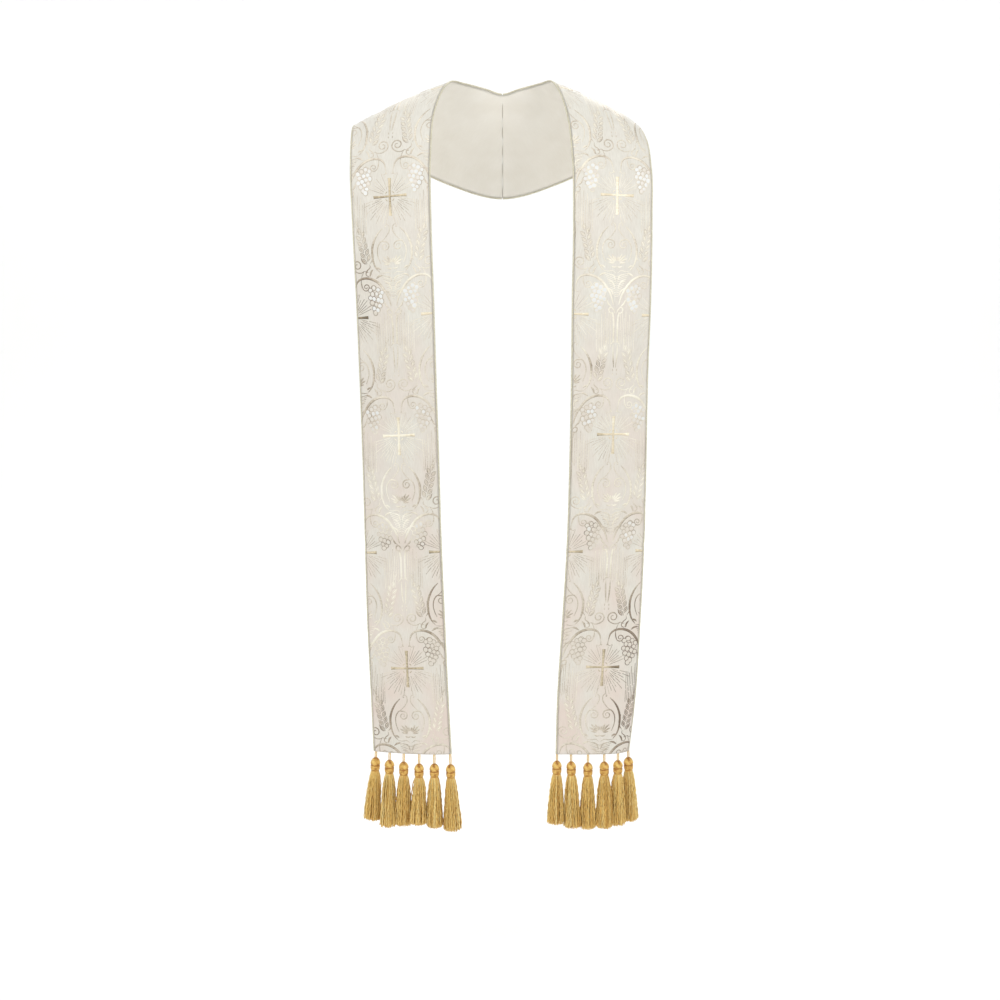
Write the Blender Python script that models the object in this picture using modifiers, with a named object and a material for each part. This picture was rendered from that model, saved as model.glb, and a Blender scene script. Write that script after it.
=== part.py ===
"""Clerical stole, worn: two brocade halves seamed behind the neck, corded edges, twelve tassels.

Metres, +Z up. The wearer faces -Y. The origin is the middle of the neck opening, level with
the stole's highest points at the two sides of the neck.
"""

import math
from collections import namedtuple

import bpy
import bmesh
from mathutils import Matrix, Vector

# ---------------------------------------------------------------- sizes of the cut
BAND_WIDTH = 0.130          # the finished band over its two edge cords
CLOTH_WALL = 0.002          # brocade, interfacing and lining together
EDGE_CORD = 0.0026          # diameter of the cord sewn along each long edge
GAP = 0.0003                # between pieces that meet
CLOTH_WIDTH = BAND_WIDTH - 2 * (EDGE_CORD + GAP)
CURL_REACH = 0.045          # the strip beside the outer edge that a curl turns back

# ---------------------------------------------------------------- sizes of a tassel
TASSEL_CORD = 0.0030        # diameter of the cord that it hangs by
HEAD_HEIGHT = 0.023
HEAD_RADIUS = 0.0076        # at the upper of its two bulges
NECK_RADIUS = 0.0058        # of the wrapping below them
SKIRT_TOP_RADIUS = 0.0070
SKIRT_FOOT_RADIUS = 0.0114
ROUND_STEPS = 12

# ---------------------------------------------------------------- fineness of the mesh
CELLS_ACROSS = 10

# How a half lies on the wearer, a row for each section from the hem up and over.
#   side, fore, up   the middle of the section: from the centre plane, forwards, upwards
#   lean             how far the section slopes down towards its outer edge, degrees
#   turn             how far the outer edge is turned to the back, degrees
#   spread           length of the section as a share of the cloth's width
#   bend             roundness across: the angle turned from edge to edge, degrees
#   curl             how far the outer edge curls back on top of that, degrees
#   rows             rows of facets from here to the next section
Section = namedtuple("Section", "place side fore up lean turn spread bend curl rows")

RIGHT_FRONT = (
    Section("hem", 0.150, 0.130, -1.069, 0, 1, 1.00, 4, 60, 3),
    Section("knee", 0.152, 0.130, -0.980, 0, 2, 1.00, 6, 28, 3),
    Section("thigh", 0.159, 0.129, -0.849, 0, 9, 1.00, 10, 10, 3),
    Section("fingertips", 0.165, 0.128, -0.720, 0, 15, 1.00, 14, 0, 3),
    Section("hip", 0.168, 0.127, -0.592, 0, 17, 1.00, 16, 0, 3),
    Section("waist", 0.170, 0.124, -0.465, 0, 18, 1.00, 18, 0, 3),
    Section("ribs", 0.172, 0.117, -0.340, 0, 13, 1.00, 18, 0, 4),
    Section("chest", 0.174, 0.097, -0.216, 2, 13, 1.00, 18, 0, 4),
    Section("collarbone", 0.173, 0.071, -0.124, 9, 11, 1.02, 16, 4, 3),
    Section("shoulder front", 0.167, 0.051, -0.072, 17, 7, 1.07, 12, 14, 3),
    Section("shoulder slope", 0.159, 0.031, -0.046, 22, 3, 1.14, 8, 18, 4),
    Section("shoulder ridge", 0.149, 0.000, -0.033, 25, 0, 1.20, 6, 14, 6),
)

LEFT_FRONT = (
    Section("hem", 0.146, 0.131, -1.068, 0, 9, 1.00, 26, 0, 3),
    Section("knee", 0.150, 0.131, -0.980, 0, 12, 1.00, 22, 0, 3),
    Section("thigh", 0.155, 0.130, -0.849, 0, 13, 1.00, 16, 0, 3),
    Section("fingertips", 0.159, 0.128, -0.720, 0, 17, 1.00, 14, 0, 3),
    Section("hip", 0.162, 0.127, -0.592, 0, 18, 1.00, 14, 0, 3),
    Section("waist", 0.166, 0.124, -0.465, 0, 18, 1.00, 16, 0, 3),
    Section("ribs", 0.170, 0.117, -0.340, 0, 16, 1.00, 18, 0, 4),
    Section("chest", 0.175, 0.097, -0.216, 2, 13, 1.00, 18, 0, 4),
    Section("collarbone", 0.177, 0.071, -0.124, 9, 9, 1.02, 14, 0, 3),
    Section("shoulder front", 0.174, 0.051, -0.072, 18, 6, 1.09, 10, 0, 3),
    Section("shoulder slope", 0.168, 0.031, -0.046, 21, 3, 1.18, 8, 0, 4),
    Section("shoulder ridge", 0.160, 0.000, -0.034, 24, 0, 1.27, 8, 4, 6),
)

BACK = (
    Section("shoulder blade", 0.118, -0.064, -0.063, 45, 17, 1.32, 10, 0, 4),
    Section("behind the neck", 0.058, -0.082, -0.091, 66, 26, 1.33, 8, 0, 4),
    Section("centre-back seam", GAP / 2, -0.088, -0.107, 82, 90, 1.35, 6, 0, 0),
)

# One row for each tassel, from the outer corner of the hem to the inner one.
#   across      its place on the hem, 0 at the inner edge and 1 at the outer one
#   cord        length of the cord that shows between the hem and the head
#   skirt       length of the skirt
#   sway, nod   how far it hangs outwards and forwards of straight down, degrees
Tassel = namedtuple("Tassel", "across cord skirt sway nod")

RIGHT_TASSELS = (
    Tassel(1.000, 0.0095, 0.084, 1.5, -2.0),
    Tassel(0.800, 0.0100, 0.085, -0.3, -1.0),
    Tassel(0.610, 0.0105, 0.087, 0.5, 1.0),
    Tassel(0.400, 0.0120, 0.087, 0.0, -0.5),
    Tassel(0.180, 0.0100, 0.087, 1.0, 1.0),
    Tassel(0.000, 0.0090, 0.082, -1.0, 0.0),
)

LEFT_TASSELS = (
    Tassel(0.985, 0.0085, 0.082, 3.5, -1.0),
    Tassel(0.795, 0.0105, 0.088, 1.5, 0.5),
    Tassel(0.605, 0.0120, 0.083, 0.5, -0.5),
    Tassel(0.400, 0.0140, 0.078, 1.0, 1.0),
    Tassel(0.205, 0.0135, 0.083, 0.0, -0.5),
    Tassel(0.000, 0.0150, 0.087, -1.6, 0.5),
)


# ---------------------------------------------------------------- scene and materials
def clear_scene():
    for old in list(bpy.data.objects):
        bpy.data.objects.remove(old, do_unlink=True)


def make_material(name, colour, roughness, metallic):
    material = bpy.data.materials.new(name)
    material.use_nodes = True
    shader = material.node_tree.nodes["Principled BSDF"]
    shader.inputs["Base Color"].default_value = (*colour, 1.0)
    shader.inputs["Roughness"].default_value = roughness
    shader.inputs["Metallic"].default_value = metallic
    return material


def add_object(name, data, collection, colour_kind, parent=None, place=None):
    piece = bpy.data.objects.new(name, data)
    collection.objects.link(piece)
    data.materials.append(make_material(name, *colour_kind))
    if parent is not None:
        piece.parent = parent
    if place is not None:
        piece.matrix_basis = place
    return piece


IVORY_BROCADE = ((0.82, 0.77, 0.68), 0.45, 0.1)
KHAKI_CORD = ((0.45, 0.39, 0.26), 0.5, 0.3)
GOLD_THREAD = ((0.60, 0.36, 0.09), 0.4, 0.4)


# ---------------------------------------------------------------- how the cloth lies
def section_direction(section):
    """The way from the inner to the outer edge, on the right-hand side of the body."""
    lean = math.radians(section.lean)
    turn = math.radians(section.turn)
    return Vector((math.cos(lean) * math.cos(turn), math.cos(lean) * math.sin(turn), -math.sin(lean)))


def section_middle(section):
    return Vector((section.side, -section.fore, section.up))


def mirrored(point):
    return Vector((-point.x, point.y, point.z))


def section_profile(section):
    """Across the section: how far along its direction and how far out each column lies."""
    length = CLOTH_WIDTH * section.spread
    bend = math.radians(section.bend)
    curl = math.radians(section.curl)
    steps = CELLS_ACROSS * 8
    step = length / steps

    def tilt(run):
        over = max(0.0, run - (length - CURL_REACH)) / CURL_REACH
        return bend * (run / length - 0.5) + curl * over

    along = [0.0]
    out = [0.0]
    for index in range(steps):
        angle = tilt((index + 0.5) * step)
        along.append(along[-1] + step * math.cos(angle))
        out.append(out[-1] - step * math.sin(angle))
    middle = steps // 2
    return [(along[i] - along[middle], out[i] - out[middle]) for i in range(0, steps + 1, 8)]


def section_rows(sections):
    """The points of every section, from the inner edge to the outer one."""
    middles = [section_middle(section) for section in sections]
    beyond = middles + [mirrored(middles[-2])]
    rows = []
    for index, section in enumerate(sections):
        before = beyond[max(index - 1, 0)]
        way = (beyond[index + 1] - before).normalized()
        direction = section_direction(section)
        outward = direction.cross(way).normalized()
        rows.append([middles[index] + direction * a + outward * o for a, o in section_profile(section)])
    return rows


def between(p0, p1, p2, p3, share):
    """A smooth curve from p1 to p2, with its slopes taken from the neighbours' distances."""
    d0, d1, d2 = (p1 - p0).length, (p2 - p1).length, (p3 - p2).length
    slope1 = (p2 - p1) if d0 == 0 else ((p1 - p0) / d0 * d1 + (p2 - p1) / d1 * d0) * d1 / (d0 + d1)
    slope2 = (p2 - p1) if d2 == 0 else ((p2 - p1) / d1 * d2 + (p3 - p2) / d2 * d1) * d1 / (d1 + d2)
    s2, s3 = share * share, share ** 3
    return (p1 * (2 * s3 - 3 * s2 + 1) + slope1 * (s3 - 2 * s2 + share)
            + p2 * (3 * s2 - 2 * s3) + slope2 * (s3 - s2))


def cloth_grid(sections):
    """Rows of points over the whole half, in the right-hand side's coordinates."""
    rows = section_rows(sections)
    ahead = [mirrored(point) for point in rows[-2]]
    framed = [rows[0]] + rows + [ahead]
    grid = []
    for span, section in enumerate(sections[:-1]):
        for step in range(section.rows):
            share = step / section.rows
            grid.append([between(*(framed[span + k][j] for k in range(4)), share)
                         for j in range(CELLS_ACROSS + 1)])
    grid.append(rows[-1])
    return grid


def on_side(point, hand):
    return Vector((point.x * hand, point.y, point.z))


# ---------------------------------------------------------------- the pieces
def add_half(name, grid, hand, collection):
    """One half of the stole: an open surface through the grid, made a wall by Solidify."""
    bm = bmesh.new()
    points = [[bm.verts.new(on_side(point, hand)) for point in row] for row in grid]
    for low, high in zip(points, points[1:]):
        for j in range(CELLS_ACROSS):
            corners = [low[j], low[j + 1], high[j + 1], high[j]]
            bm.faces.new(corners if hand > 0 else corners[::-1])
    mesh = bpy.data.meshes.new(name)
    bm.to_mesh(mesh)
    bm.free()
    mesh.shade_smooth()
    half = add_object(name, mesh, collection, IVORY_BROCADE)
    wall = half.modifiers.new("cloth wall", "SOLIDIFY")
    wall.thickness = CLOTH_WALL
    wall.offset = 0.0
    return half


def add_edge_cord(name, grid, edge, inside, hand, collection):
    """A cord beside one long edge, made from the edge's own points moved out."""
    reach = EDGE_CORD / 2 + GAP
    curve = bpy.data.curves.new(name, "CURVE")
    curve.dimensions = "3D"
    curve.bevel_depth = EDGE_CORD / 2
    curve.bevel_resolution = 2
    curve.use_fill_caps = True
    spline = curve.splines.new("POLY")
    spline.points.add(len(grid) - 1)
    for row, knot in zip(grid, spline.points):
        away = (row[edge] - row[inside]).normalized()
        point = row[edge] + away * reach
        point.x = max(point.x, EDGE_CORD / 4)
        knot.co = (*on_side(point, hand), 1.0)
    return add_object(name, curve, collection, KHAKI_CORD)


def turned_mesh(name, profile):
    """An open profile from the axis round to the axis, turned by a Screw modifier."""
    mesh = bpy.data.meshes.new(name)
    points = [(radius, 0.0, height) for radius, height in profile]
    mesh.from_pydata(points, [(i, i + 1) for i in range(len(points) - 1)], [])
    return mesh


def add_turned(name, profile, collection, parent, place):
    piece = add_object(name, turned_mesh(name, profile), collection, GOLD_THREAD, parent, place)
    screw = piece.modifiers.new("turned", "SCREW")
    screw.steps = ROUND_STEPS
    screw.render_steps = ROUND_STEPS
    screw.use_merge_vertices = True
    screw.merge_threshold = 0.00005
    screw.use_smooth_shade = True
    return piece


def head_profile():
    """Two soft bulges over a wrapped neck, from the top down; it hangs below its own origin."""
    h, r, n = HEAD_HEIGHT, HEAD_RADIUS, NECK_RADIUS
    return [(0, 0), (0.6 * r, -0.02 * h), (0.95 * r, -0.14 * h), (r, -0.26 * h), (0.86 * r, -0.42 * h),
            (0.97 * r, -0.58 * h), (0.8 * r, -0.72 * h), (n, -0.8 * h), (n, -0.99 * h), (0, -h)]


def skirt_profile(length):
    top, foot = SKIRT_TOP_RADIUS, SKIRT_FOOT_RADIUS
    return [(0, 0), (top * 0.8, 0), (top, -0.06 * length), (0.5 * (top + foot), -0.45 * length),
            (foot, -length), (0, -length)]


def add_tassel(name, tassel, root, hand, collection):
    """A tassel under the hem: the empty at its root carries the cord, the head and the skirt."""
    hanger = bpy.data.objects.new(name, None)
    hanger.empty_display_size = 0.02
    collection.objects.link(hanger)
    sway = Matrix.Rotation(-math.radians(tassel.sway) * hand, 4, "Y")
    nod = Matrix.Rotation(-math.radians(tassel.nod), 4, "X")
    hanger.matrix_basis = Matrix.Translation(root) @ sway @ nod

    cord = bpy.data.meshes.new(name + "_cord")
    bm = bmesh.new()
    bmesh.ops.create_cone(bm, cap_ends=True, segments=8, radius1=TASSEL_CORD / 2,
                          radius2=TASSEL_CORD / 2, depth=tassel.cord)
    bm.to_mesh(cord)
    bm.free()
    cord.shade_smooth()
    cord.set_sharp_from_angle(angle=math.radians(40))
    top = -CLOTH_WALL
    add_object(name + "_cord", cord, collection, GOLD_THREAD, hanger,
               Matrix.Translation((0, 0, top - tassel.cord / 2)))
    head_top = top - tassel.cord - GAP
    add_turned(name + "_head", head_profile(), collection, hanger, Matrix.Translation((0, 0, head_top)))
    skirt_top = head_top - HEAD_HEIGHT - GAP
    add_turned(name + "_skirt", skirt_profile(tassel.skirt), collection, hanger,
               Matrix.Translation((0, 0, skirt_top)))


def hem_point(grid, across):
    """A point of the hem at a share of the cloth's width."""
    place = across * CELLS_ACROSS
    index = min(int(place), CELLS_ACROSS - 1)
    return grid[0][index].lerp(grid[0][index + 1], place - index)


def main():
    clear_scene()
    stole = bpy.data.collections.new("clerical_stole")
    bpy.context.scene.collection.children.link(stole)
    halves = (("right", 1, RIGHT_FRONT, RIGHT_TASSELS), ("left", -1, LEFT_FRONT, LEFT_TASSELS))
    for side, hand, front, tassels in halves:
        grid = cloth_grid(front + BACK)
        add_half("stole_" + side + "_half", grid, hand, stole)
        add_edge_cord("cord_" + side + "_inner", grid, 0, 1, hand, stole)
        add_edge_cord("cord_" + side + "_outer", grid, -1, -2, hand, stole)
        for number, tassel in enumerate(tassels, start=1):
            root = on_side(hem_point(grid, tassel.across), hand)
            add_tassel(f"tassel_{side}_{number}", tassel, root, hand, stole)


main()
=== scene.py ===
"""Looks of a worn clerical stole: ivory brocade with a woven gold church pattern, corded edges
and twelve gold tassels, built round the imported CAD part.

Metres, +Z up, the wearer faces -Y. On a half of the stole, u is the distance from the hem along
the cloth and v the distance across it from the middle of the band, positive to the outer edge.
"""

from collections import namedtuple
from math import cos, pi, radians, sin, sqrt

import bmesh
import bpy
import numpy as np
from mathutils import Matrix, Vector


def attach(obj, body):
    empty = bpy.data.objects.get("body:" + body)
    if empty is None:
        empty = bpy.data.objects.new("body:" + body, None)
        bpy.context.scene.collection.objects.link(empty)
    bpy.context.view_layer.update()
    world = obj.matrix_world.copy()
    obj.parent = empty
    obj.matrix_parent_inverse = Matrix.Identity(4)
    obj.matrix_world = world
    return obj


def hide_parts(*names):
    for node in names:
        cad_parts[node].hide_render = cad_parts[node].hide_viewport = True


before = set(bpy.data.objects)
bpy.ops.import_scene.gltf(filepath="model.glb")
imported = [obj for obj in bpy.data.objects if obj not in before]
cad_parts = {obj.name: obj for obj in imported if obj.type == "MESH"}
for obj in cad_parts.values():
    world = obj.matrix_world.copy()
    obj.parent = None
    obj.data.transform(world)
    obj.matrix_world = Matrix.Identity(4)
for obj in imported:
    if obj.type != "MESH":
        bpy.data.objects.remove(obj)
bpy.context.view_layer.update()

MM = 0.001

# ---- sizes, as in the CAD part
BAND_WIDTH = 0.13
CLOTH_WALL = 0.002
EDGE_CORD = 0.0026
GAP = 0.0003
CLOTH_WIDTH = BAND_WIDTH - 2 * (EDGE_CORD + GAP)
HALF_WIDTH = CLOTH_WIDTH / 2
CURL_REACH = 0.045  # from the outer edge, where a section's curl is
HEAD_HEIGHT = 0.023
HEAD_RADIUS = 0.0076
NECK_RADIUS = 0.0058

# ---- fineness of the meshes
CELLS = 40  # across the band
ROWS_PER_FACET = 9  # rows of cells for each row of facets of the CAD part
U_STEP = 0.001  # between the places that are looked up on the cloth
LINE_STEP = 1.8  # millimetres between the points of a woven line
CORD_STEP = 0.85 * MM
CORD_SIDES = 10


def table(kind, *rows):
    """Rows with named fields. A first field that is a name labels its row for the reader."""
    return [kind(*row) for row in rows]


# How a half lies on the wearer, as in the CAD part.
Section = namedtuple("Section", "place side fore up lean turn spread bend curl rows")

RIGHT_FRONT = table(
    Section,
    ("hem", 0.15, 0.13, -1.069, 0, 1, 1, 4, 60, 3),
    ("knee", 0.152, 0.13, -0.98, 0, 2, 1, 6, 28, 3),
    ("thigh", 0.159, 0.129, -0.849, 0, 9, 1, 10, 10, 3),
    ("fingertips", 0.165, 0.128, -0.72, 0, 15, 1, 14, 0, 3),
    ("hip", 0.168, 0.127, -0.592, 0, 17, 1, 16, 0, 3),
    ("waist", 0.17, 0.124, -0.465, 0, 18, 1, 18, 0, 3),
    ("ribs", 0.172, 0.117, -0.34, 0, 13, 1, 18, 0, 4),
    ("chest", 0.174, 0.097, -0.216, 2, 13, 1, 18, 0, 4),
    ("collarbone", 0.173, 0.071, -0.124, 9, 11, 1.02, 16, 4, 3),
    ("shoulder front", 0.167, 0.051, -0.072, 17, 7, 1.07, 12, 14, 3),
    ("shoulder slope", 0.159, 0.031, -0.046, 22, 3, 1.14, 8, 18, 4),
    ("shoulder ridge", 0.149, 0, -0.033, 25, 0, 1.2, 6, 14, 6),
)

LEFT_FRONT = table(
    Section,
    ("hem", 0.146, 0.131, -1.068, 0, 9, 1, 26, 0, 3),
    ("knee", 0.15, 0.131, -0.98, 0, 12, 1, 22, 0, 3),
    ("thigh", 0.155, 0.13, -0.849, 0, 13, 1, 16, 0, 3),
    ("fingertips", 0.159, 0.128, -0.72, 0, 17, 1, 14, 0, 3),
    ("hip", 0.162, 0.127, -0.592, 0, 18, 1, 14, 0, 3),
    ("waist", 0.166, 0.124, -0.465, 0, 18, 1, 16, 0, 3),
    ("ribs", 0.17, 0.117, -0.34, 0, 16, 1, 18, 0, 4),
    ("chest", 0.175, 0.097, -0.216, 2, 13, 1, 18, 0, 4),
    ("collarbone", 0.177, 0.071, -0.124, 9, 9, 1.02, 14, 0, 3),
    ("shoulder front", 0.174, 0.051, -0.072, 18, 6, 1.09, 10, 0, 3),
    ("shoulder slope", 0.168, 0.031, -0.046, 21, 3, 1.18, 8, 0, 4),
    ("shoulder ridge", 0.16, 0, -0.034, 24, 0, 1.27, 8, 4, 6),
)

BACK = table(
    Section,
    ("shoulder blade", 0.118, -0.064, -0.063, 45, 17, 1.32, 10, 0, 4),
    ("behind the neck", 0.058, -0.082, -0.091, 66, 26, 1.33, 8, 0, 4),
    ("centre-back seam", GAP / 2, -0.088, -0.107, 82, 90, 1.35, 6, 0, 0),
)

# From the outer corner of the hem (1) to the inner one (0), as in the CAD part.
Tassel = namedtuple("Tassel", "across cord skirt sway nod")

RIGHT_TASSELS = table(
    Tassel,
    (1, 0.0095, 0.084, 1.5, -2),
    (0.8, 0.01, 0.085, -0.3, -1),
    (0.61, 0.0105, 0.087, 0.5, 1),
    (0.4, 0.012, 0.087, 0, -0.5),
    (0.18, 0.01, 0.087, 1, 1),
    (0, 0.009, 0.082, -1, 0),
)

LEFT_TASSELS = table(
    Tassel,
    (0.985, 0.0085, 0.082, 3.5, -1),
    (0.795, 0.0105, 0.088, 1.5, 0.5),
    (0.605, 0.012, 0.083, 0.5, -0.5),
    (0.4, 0.014, 0.078, 1, 1),
    (0.205, 0.0135, 0.083, 0, -0.5),
    (0, 0.015, 0.087, -1.6, 0.5),
)

# Soft troughs (negative) and ridges (positive) from folding and wear, in millimetres: u and v of the
# middle, half the length and width, and the height. angle is its climb outwards, in degrees.
Crease = namedtuple("Crease", "place u v angle length width height")

RIGHT_CREASES = table(
    Crease,
    ("packing fold", 337, 4, 2, 85, 5, -2.4),
    ("beside the fold", 352, 36, 36, 34, 9, 1.7),
    ("thigh dent", 392, 30, 24, 38, 12, -1.6),
    ("thigh dent, inner", 376, -36, -18, 26, 8, -0.9),
    ("hip pull", 566, 18, 12, 45, 16, 1.2),
    ("waist dent", 632, 26, 17, 36, 10, -1.3),
    ("waist dent, low", 612, -18, -8, 28, 9, -0.6),
    ("rib swell", 742, -20, 30, 60, 22, 1.1),
    ("chest pull", 884, 14, 62, 70, 14, -1.2),
    ("collar pull", 968, -16, 74, 52, 10, 1),
    ("slope fold", 1048, 22, 66, 45, 12, -1.4),
    ("hem roll", 40, 34, 82, 75, 12, -1.2),
    ("hem swell", 85, -12, 86, 90, 20, 0.9),
    ("blade fold", 1165, 10, 40, 60, 13, -1.6),
    ("blade ridge", 1190, -30, 52, 44, 10, 1.3),
)

LEFT_CREASES = table(
    Crease,
    ("packing fold", 338, -2, -1, 85, 4.8, -2.6),
    ("beside the fold", 326, -20, 8, 42, 10, -1),
    ("thigh swell", 236, 18, 70, 75, 20, 1),
    ("hem swell", 60, -24, 84, 60, 14, 1),
    ("hip dent", 470, -24, -26, 34, 11, -0.9),
    ("waist dent", 655, 32, 14, 30, 9, -1),
    ("rib dent", 764, 6, -38, 48, 16, -1),
    ("chest pull", 902, 26, 58, 64, 13, -1.3),
    ("collar ridge", 988, -10, 70, 50, 11, 1.2),
    ("slope fold", 1060, 34, 60, 42, 11, -1.3),
    ("blade fold", 1150, -14, 46, 66, 12, -1.5),
    ("blade ridge", 1205, 26, 34, 46, 11, 1.2),
)

# Painted reflection and shade of the metal thread: where it is painted pale as if catching the light, and
# dark as if turned from it and in the shade of the folds. up is metres above the hem, across runs from -1 at
# the inner edge to 1 at the outer one, tall is metres and wide a share of half the width.
Gleam = namedtuple("Gleam", "up across tall wide tone")

RIGHT_GLEAMS = table(
    Gleam,
    (1.02, 0.2, 0.07, 1.2, -0.08), (0.9, 0.05, 0.04, 0.5, 0.16), (0.81, -0.8, 0.05, 0.6, -0.12),
    (0.74, 0.05, 0.055, 0.7, 0.26), (0.6, -0.75, 0.06, 0.5, -0.12), (0.628, -0.08, 0.013, 0.55, -0.34),
    (0.655, -0.05, 0.012, 0.6, 0.2), (0.6, 0.25, 0.15, 0.9, 0.07), (0.56, 0.55, 0.08, 0.6, 0.14),
    (0.52, -0.25, 0.016, 0.5, -0.06), (0.47, -0.1, 0.025, 0.45, -0.16), (0.42, 0, 0.035, 0.7, 0.26),
    (0.385, -0.15, 0.02, 0.8, -0.18), (0.335, -0.6, 0.03, 0.5, -0.14), (0.315, 0.05, 0.03, 0.45, 0.24),
    (0.22, 0.65, 0.06, 0.5, -0.3), (0.12, 0.85, 0.085, 0.5, -0.38), (0.04, 0.75, 0.05, 0.45, -0.28),
    (0.08, -0.55, 0.065, 0.7, 0.15), (0.195, -0.5, 0.03, 0.6, -0.1),
)

LEFT_GLEAMS = table(
    Gleam,
    (0.97, 0, 0.13, 1.5, -0.09), (0.895, 0.26, 0.014, 0.22, -0.22), (0.88, 0.02, 0.026, 0.12, -0.1),
    (0.775, 0.75, 0.05, 0.55, -0.33), (0.71, 0.8, 0.035, 0.4, -0.4), (0.75, -0.35, 0.09, 0.6, 0.12),
    (0.58, 0.85, 0.035, 0.35, -0.24), (0.51, 0.05, 0.03, 0.75, 0.34), (0.44, 0.42, 0.05, 0.3, 0.34),
    (0.44, -0.8, 0.055, 0.32, -0.2), (0.37, 0.25, 0.035, 0.7, 0.26), (0.342, 0, 0.013, 0.9, -0.46),
    (0.372, -0.3, 0.022, 0.35, 0.24), (0.31, 0.02, 0.03, 0.25, 0.26), (0.27, 0.1, 0.045, 0.4, 0.34),
    (0.26, -0.8, 0.06, 0.35, -0.22), (0.185, 0.7, 0.04, 0.45, 0.3), (0.17, -0.5, 0.035, 0.5, -0.18),
    (0.08, 0.5, 0.045, 0.35, -0.16), (0.04, 0.8, 0.045, 0.35, -0.2), (0.06, -0.62, 0.05, 0.4, 0.2),
)

# How each half was laid on the patterned cloth: the pattern is moved outwards by aside and up by
# along, in metres, and climbs by skew for each metre outwards.
Lay = namedtuple("Lay", "aside along skew")
RIGHT_LAY = Lay(0.0055, 0.000, -0.045)
LEFT_LAY = Lay(0.0000, -0.003, -0.105)


# ================ materials
def paint(*srgb):
    """A colour given as 0-255 numbers, in Blender's linear light."""
    shares = [value / 255 for value in srgb]
    return (*(s / 12.92 if s <= 0.04045 else ((s + 0.055) / 1.055) ** 2.4 for s in shares), 1.0)


class Surface:
    """A Principled material, with the kinds of node that the cloth and threads share."""

    def __init__(self, name, roughness, metallic=0.0, sheen=0.0, specular=0.5):
        self.material = bpy.data.materials.new(name)
        self.material.use_nodes = True
        self.tree = self.material.node_tree
        self.shader = self.tree.nodes["Principled BSDF"]
        self.feed(self.shader, {"Roughness": roughness, "Metallic": metallic, "Sheen Weight": sheen,
                                "Sheen Roughness": 0.4, "Specular IOR Level": specular})

    def feed(self, node, inputs):
        """Sets a node's inputs, by a link where the value is another node's output."""
        for key, value in inputs.items():
            if isinstance(value, bpy.types.NodeSocket):
                self.tree.links.new(value, node.inputs[key])
            else:
                node.inputs[key].default_value = value

    def node(self, kind, output, inputs, **settings):
        made = self.tree.nodes.new("ShaderNode" + kind)
        for name, value in settings.items():
            setattr(made, name, value)
        self.feed(made, inputs)
        return made.outputs[output]

    def cloth_place(self, across=1.0, along=1.0, tilt=0.0):
        """The UV map holds v and u in metres. These stretch it, for threads and floats."""
        place = self.node("UVMap", "UV", {}, uv_map="cloth")
        return self.node("Mapping", "Vector", {"Vector": place, "Scale": (across, along, 1.0),
                                               "Rotation": (0.0, 0.0, tilt)})

    def tone(self):
        """The tone that each point of a mesh carries."""
        return self.node("Attribute", "Fac", {}, attribute_name="tone")

    def noise(self, across, along, detail=2.0, roughness=0.5):
        """Clouds from 0 to 1, so many to a metre across and along the cloth."""
        place = self.cloth_place(across, along)
        return self.node("TexNoise", "Fac", {"Vector": place, "Scale": 1.0, "Detail": detail,
                                             "Roughness": roughness})

    def threads(self, pitch, tilt=0.0, distortion=0.6):
        """Even ribs, one for each thread, that waver a little."""
        return self.node("TexWave", "Fac", {"Vector": self.cloth_place(tilt=tilt), "Detail": 1.0,
                                            "Scale": WAVE_TURN / pitch, "Distortion": distortion})

    def ramp(self, factor, *stops):
        """Each stop is its place and then its colour in 0-255 numbers."""
        made = self.tree.nodes.new("ShaderNodeValToRGB")
        marks = made.color_ramp.elements
        while len(marks) < len(stops):
            marks.new(0.5)
        for mark, (place, *colour) in zip(marks, stops):
            mark.position = place
            mark.color = paint(*colour)
        self.feed(made, {"Fac": factor})
        return made.outputs["Color"]

    def mix(self, factor, first, second):
        return self.node("Mix", 2, {0: factor, 6: first, 7: second}, data_type="RGBA")

    def scaled(self, value, times, plus=0.0):
        return self.node("Math", "Value", {0: value, 1: times, 2: plus}, operation="MULTIPLY_ADD")

    def bump(self, height, distance, strength, **under):
        """A relief this many millimetres deep, over the one that Normal names."""
        return self.node("Bump", "Normal", {"Height": height, "Distance": distance * MM,
                                            "Strength": strength, **under})

    def finish(self, colour, **inputs):
        self.feed(self.shader, {"Base Color": colour, **inputs})
        return self.material


THREAD_PITCH = 0.34 * MM  # warp threads of the satin ground
LAME_PITCH = 0.4 * MM  # flat metal wefts of the gold pattern
TWIST_PITCH = 0.8 * MM  # of a tassel's thread
WEFTWISE = pi / 2
WAVE_TURN = 2 * pi / 20  # Blender's wave texture has a band for each 2 pi / 20 at scale 1


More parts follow.
